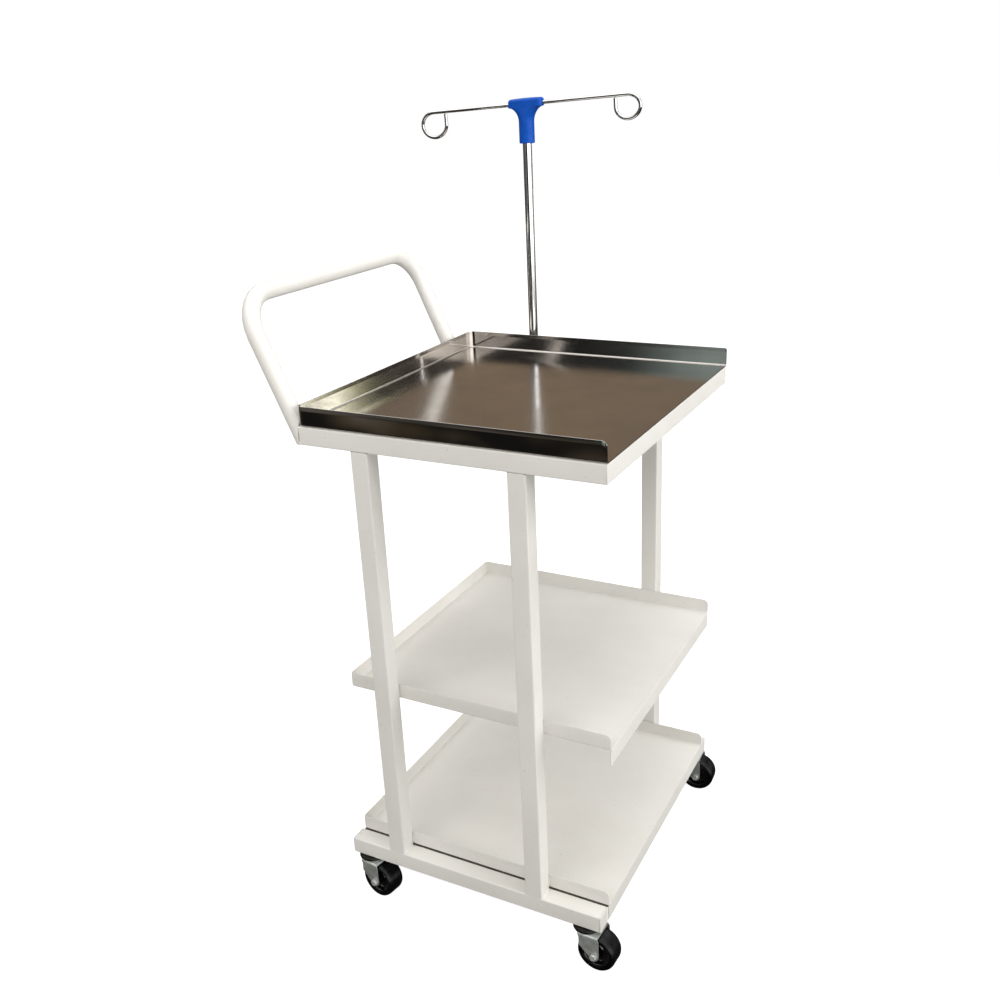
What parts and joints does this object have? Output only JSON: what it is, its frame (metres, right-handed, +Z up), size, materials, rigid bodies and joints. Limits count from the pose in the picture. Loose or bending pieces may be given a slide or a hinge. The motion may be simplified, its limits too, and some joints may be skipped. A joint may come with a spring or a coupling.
{
  "type": "instrument cart",
  "caption": "Wheeled clinic trolley: steel tube frame, stainless tray with raised walls, sheet shelves, push handle and height-adjustable infusion pole.",
  "frame": {"origin": "middle of the bounding box at floor level, under the cart", "axes": "+Z up, +X from the push handle towards the tray's open edge, +Y towards the side with the infusion pole"},
  "size_m": [0.614, 0.6094, 1.3004],
  "materials": {
    "cream_paint": "semi-gloss powder coat",
    "stainless": "bright brushed stainless steel",
    "chrome": "polished",
    "zinc": "zinc plated, dull",
    "tyre": "smooth black rubber",
    "black_plastic": "glossy black moulding",
    "blue_plastic": "smooth blue moulding"
  },
  "bodies": {
    "frame": {"top_frame_near": "cream_paint", "top_frame_far": "cream_paint", "top_frame_left": "cream_paint", "top_frame_right": "cream_paint", "column_near_left": "cream_paint", "column_near_right": "cream_paint", "column_far_left": "cream_paint", "column_far_right": "cream_paint", "base_rail_near": "cream_paint", "base_rail_far": "cream_paint", "rail_cap_near_left": "cream_paint", "rail_cap_near_right": "cream_paint", "rail_cap_far_left": "cream_paint", "rail_cap_far_right": "cream_paint", "base_cross_left": "cream_paint", "base_cross_right": "cream_paint", "stainless_tray": "stainless", "middle_shelf": "cream_paint", "lower_shelf": "cream_paint", "push_handle": "cream_paint", "pole_socket": "cream_paint", "socket_bracket_upper": "cream_paint", "socket_bracket_lower": "cream_paint", "caster_near_left_race": "zinc", "caster_near_left_stem_nut": "zinc", "caster_near_right_race": "zinc", "caster_near_right_stem_nut": "zinc", "caster_far_left_race": "zinc", "caster_far_left_stem_nut": "zinc", "caster_far_right_race": "zinc", "caster_far_right_stem_nut": "zinc"},
    "knob": {"clamp_knob": "black_plastic"},
    "pole_slider": {"pole_foot": "black_plastic"},
    "pole": {"infusion_pole": "chrome", "pole_hub": "blue_plastic", "hook_rod": "chrome"},
    "near_left_fork": {"caster_near_left_fork": "zinc", "caster_near_left_axle_bolt": "zinc", "caster_near_left_axle_nut": "zinc"},
    "near_left_wheel": {"caster_near_left_wheel_core": "black_plastic", "caster_near_left_tyre": "tyre"},
    "near_right_fork": {"caster_near_right_fork": "zinc", "caster_near_right_axle_bolt": "zinc", "caster_near_right_axle_nut": "zinc"},
    "near_right_wheel": {"caster_near_right_wheel_core": "black_plastic", "caster_near_right_tyre": "tyre"},
    "far_left_fork": {"caster_far_left_fork": "zinc", "caster_far_left_axle_bolt": "zinc", "caster_far_left_axle_nut": "zinc"},
    "far_left_wheel": {"caster_far_left_wheel_core": "black_plastic", "caster_far_left_tyre": "tyre"},
    "far_right_fork": {"caster_far_right_fork": "zinc", "caster_far_right_axle_bolt": "zinc", "caster_far_right_axle_nut": "zinc"},
    "far_right_wheel": {"caster_far_right_wheel_core": "black_plastic", "caster_far_right_tyre": "tyre"}
  },
  "joints": [
    {"name": "pole_height", "type": "slide", "parent": "frame", "child": "pole_slider", "axis": [0, 0, 1], "range_m": [-0.09, 0.08]},
    {"name": "pole_turn", "type": "hinge", "parent": "pole_slider", "child": "pole", "pos_m": [-0.07619, 0.27421, 0.74], "axis": [0, 0, 1], "continuous": true},
    {"name": "clamp_knob_turn", "type": "hinge", "parent": "frame", "child": "knob", "pos_m": [-0.07619, 0.29271, 0.846], "axis": [0, 1, 0], "range_deg": [-360, 720]},
    {"name": "near_left_swivel", "type": "hinge", "parent": "frame", "child": "near_left_fork", "pos_m": [-0.15719, -0.27379, 0.0694], "axis": [0, 0, 1], "continuous": true},
    {"name": "near_left_roll", "type": "hinge", "parent": "near_left_fork", "child": "near_left_wheel", "pos_m": [-0.13553, -0.27761, 0.0325], "axis": [0.1736, 0.9848, 0], "continuous": true},
    {"name": "near_right_swivel", "type": "hinge", "parent": "frame", "child": "near_right_fork", "pos_m": [0.25181, -0.27379, 0.0694], "axis": [0, 0, 1], "continuous": true},
    {"name": "near_right_roll", "type": "hinge", "parent": "near_right_fork", "child": "near_right_wheel", "pos_m": [0.27376, -0.27513, 0.0325], "axis": [0.061, 0.9981, 0], "continuous": true},
    {"name": "far_left_swivel", "type": "hinge", "parent": "frame", "child": "far_left_fork", "pos_m": [-0.15719, 0.23621, 0.0694], "axis": [0, 0, 1], "continuous": true},
    {"name": "far_left_roll", "type": "hinge", "parent": "far_left_fork", "child": "far_left_wheel", "pos_m": [-0.13585, 0.23089, 0.0325], "axis": [0.2419, 0.9703, 0], "continuous": true},
    {"name": "far_right_swivel", "type": "hinge", "parent": "frame", "child": "far_right_fork", "pos_m": [0.25181, 0.23621, 0.0694], "axis": [0, 0, 1], "continuous": true},
    {"name": "far_right_roll", "type": "hinge", "parent": "far_right_fork", "child": "far_right_wheel", "pos_m": [0.27378, 0.23736, 0.0325], "axis": [-0.0523, 0.9986, 0], "continuous": true}
  ]
}
